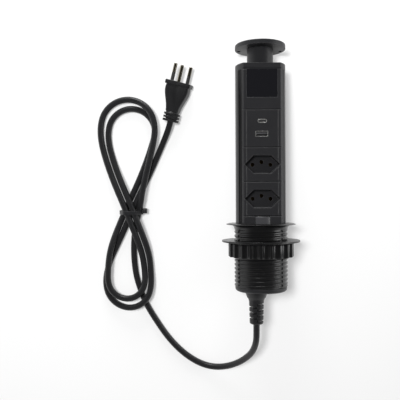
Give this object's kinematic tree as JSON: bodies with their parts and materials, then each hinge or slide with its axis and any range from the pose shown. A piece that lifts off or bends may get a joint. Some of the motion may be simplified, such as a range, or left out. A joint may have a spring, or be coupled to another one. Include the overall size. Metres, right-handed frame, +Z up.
{
  "type": "pop up desk socket",
  "caption": "Round power tower that slides up out of a threaded desk collar, with mains and USB outlets, a release button and a tied corded plug.",
  "frame": {"origin": "centre of the desk flange's seat, on the tower's axis", "axes": "+Y along the tower towards the pull knob, 4.07 degrees above the tower's own axis, which leans down to its cap; +Z up from the surface that the part lies on, out of the sockets; +X to the right, seen from above with the knob at the top"},
  "size_m": [0.2235, 0.3685, 0.084],
  "materials": {
    "black_plastic": "fine satin moulded plastic, black",
    "tower_metal": "satin black anodised extrusion",
    "gloss_black": "polished black acrylic",
    "button_grey": "dark grey satin plastic",
    "nut_plastic": "semi gloss moulded plastic, black",
    "steel": "bright nickel plated steel",
    "screw_steel": "black zinc plated steel",
    "brass": "bare rolled brass",
    "insulator": "pale nylon",
    "tongue_grey": "grey nylon",
    "board_green": "solder masked laminate",
    "component": "resin dipped",
    "wire_jacket": "coloured wire insulation",
    "cord_black": "soft black cord sheath",
    "pin_brass": "nickel plated brass pins",
    "sleeve_black": "black pin sleeve"
  },
  "bodies": {
    "collar": {"collar_tube": "nut_plastic"},
    "clamp_ring_body": {"clamp_ring": "nut_plastic"},
    "lock_nut_body": {"lock_nut": "nut_plastic"},
    "tower": {"tower_profile": "tower_metal", "foot": "black_plastic", "foot_screws": "screw_steel", "base_cap": "black_plastic", "strain_relief": "cord_black", "cord_clamp": "insulator", "clamp_screws": "screw_steel", "cord_inner": "cord_black", "inner_wires": "wire_jacket", "end_cap": "black_plastic", "cap_screws": "screw_steel", "neck": "black_plastic", "neck_bolt": "screw_steel", "knob_shell": "black_plastic", "knob_underplate": "gloss_black", "blank_tile": "black_plastic", "gloss_panel": "gloss_black", "usb_plate": "black_plastic", "usb_c_shell": "steel", "usb_c_tongue": "tongue_grey", "usb_a_shell": "steel", "usb_a_tongue": "tongue_grey", "usb_board": "board_green", "board_screws": "screw_steel", "charger_parts": "component", "board_leads": "wire_jacket", "socket_plate_upper": "black_plastic", "socket_plate_lower": "black_plastic", "contact_block_upper": "insulator", "contact_block_lower": "insulator", "contacts_upper": "brass", "contacts_lower": "brass", "live_bus": "brass", "neutral_bus": "brass", "earth_bus": "brass", "latch_panel": "black_plastic", "latch_spring": "steel", "latch_seat": "screw_steel", "cord_lower": "cord_black", "cord_hank": "cord_black", "cord_upper": "cord_black", "cable_tie": "black_plastic", "plug_body": "cord_black", "plug_pins": "pin_brass", "plug_earth_pin": "pin_brass", "pin_sleeves": "sleeve_black"},
    "button": {"latch_button": "button_grey"}
  },
  "joints": [
    {"name": "tower_slide", "type": "slide", "parent": "collar", "child": "tower", "axis": [0, 0.9975, -0.071], "range_m": [-0.1867, 0]},
    {"name": "latch_press", "type": "slide", "parent": "tower", "child": "button", "axis": [0, -0.071, -0.9975], "range_m": [0, 0.0025], "stiffness_N_per_m": 400, "springref_m": -0.002, "deforming": ["latch_spring"]},
    {"name": "nut_travel", "type": "slide", "parent": "collar", "child": "clamp_ring_body", "axis": [0, 0.9975, -0.071], "range_m": [-0.028, 0.0112]},
    {"name": "nut_spin", "type": "hinge", "parent": "clamp_ring_body", "child": "lock_nut_body", "pos_m": [0, 0, 0], "axis": [0, 0.9975, -0.071], "range_deg": [-2280, 915]}
  ],
  "couplings": [
    {"joint": "nut_travel", "follows": "nut_spin", "m_per_rad": 0.00070028}
  ]
}
